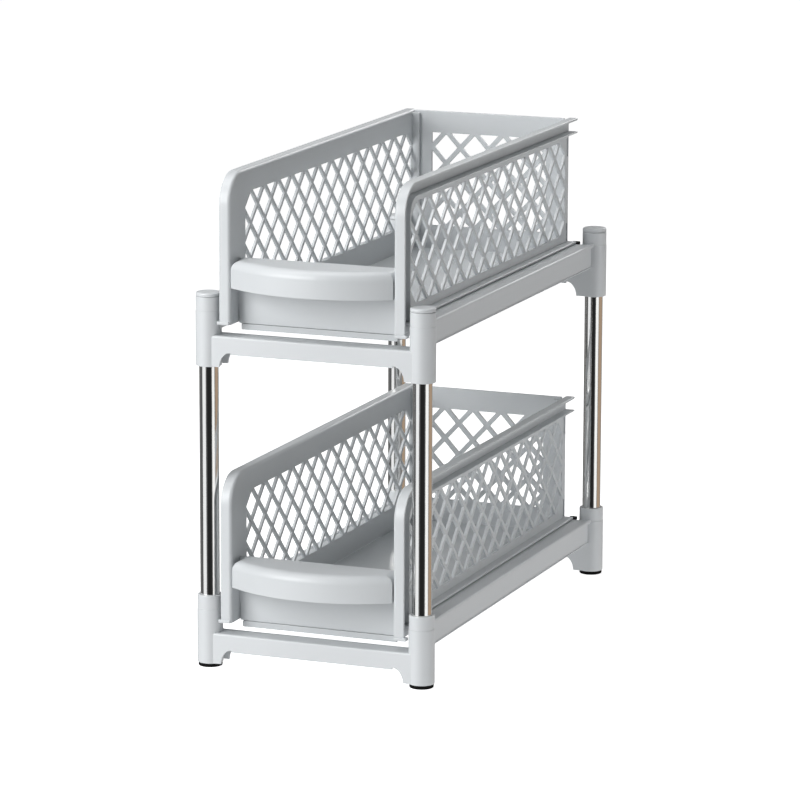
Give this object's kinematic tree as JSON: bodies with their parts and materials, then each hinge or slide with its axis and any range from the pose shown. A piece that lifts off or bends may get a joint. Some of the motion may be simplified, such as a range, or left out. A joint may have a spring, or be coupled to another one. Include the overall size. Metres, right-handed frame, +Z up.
{
  "type": "pull-out storage rack",
  "caption": "Slim two-tier rack with lattice drawers that slide out on side rails, in a moulded frame on chromed posts.",
  "frame": {"origin": "on the floor, under the middle of the rack's outer box with both drawers closed", "axes": "+Z up, -Y the way the drawers pull out (the handles' side), +X the right-hand side seen from the front"},
  "size_m": [0.194, 0.427, 0.383],
  "materials": {
    "frame_plastic": "satin, light grey",
    "drawer_plastic": "satin, light grey",
    "chromed_tube": "polished",
    "black_rubber": "matte"
  },
  "bodies": {
    "frame": {"post_front_left": "chromed_tube", "foot_front_left": "black_rubber", "cap_front_left": "frame_plastic", "post_front_right": "chromed_tube", "foot_front_right": "black_rubber", "cap_front_right": "frame_plastic", "post_back_left": "chromed_tube", "foot_back_left": "black_rubber", "cap_back_left": "frame_plastic", "post_back_right": "chromed_tube", "foot_back_right": "black_rubber", "cap_back_right": "frame_plastic", "lower_front_frame": "frame_plastic", "lower_back_frame": "frame_plastic", "lower_left_rail": "frame_plastic", "lower_right_rail": "frame_plastic", "lower_left_stop": "black_rubber", "lower_right_stop": "black_rubber", "upper_front_frame": "frame_plastic", "upper_back_frame": "frame_plastic", "upper_left_rail": "frame_plastic", "upper_right_rail": "frame_plastic", "upper_left_stop": "black_rubber", "upper_right_stop": "black_rubber"},
    "lower_drawer": {"lower_drawer_left_panel": "drawer_plastic", "lower_drawer_right_panel": "drawer_plastic", "lower_drawer_back_panel": "drawer_plastic", "lower_drawer_front_panel": "drawer_plastic", "lower_drawer_tray": "drawer_plastic"},
    "upper_drawer": {"upper_drawer_left_panel": "drawer_plastic", "upper_drawer_right_panel": "drawer_plastic", "upper_drawer_back_panel": "drawer_plastic", "upper_drawer_front_panel": "drawer_plastic", "upper_drawer_tray": "drawer_plastic"}
  },
  "joints": [
    {"name": "lower_drawer_slide", "type": "slide", "parent": "frame", "child": "lower_drawer", "axis": [0, -1, 0], "range_m": [0, 0.26]},
    {"name": "upper_drawer_slide", "type": "slide", "parent": "frame", "child": "upper_drawer", "axis": [0, -1, 0], "range_m": [0, 0.26]}
  ]
}
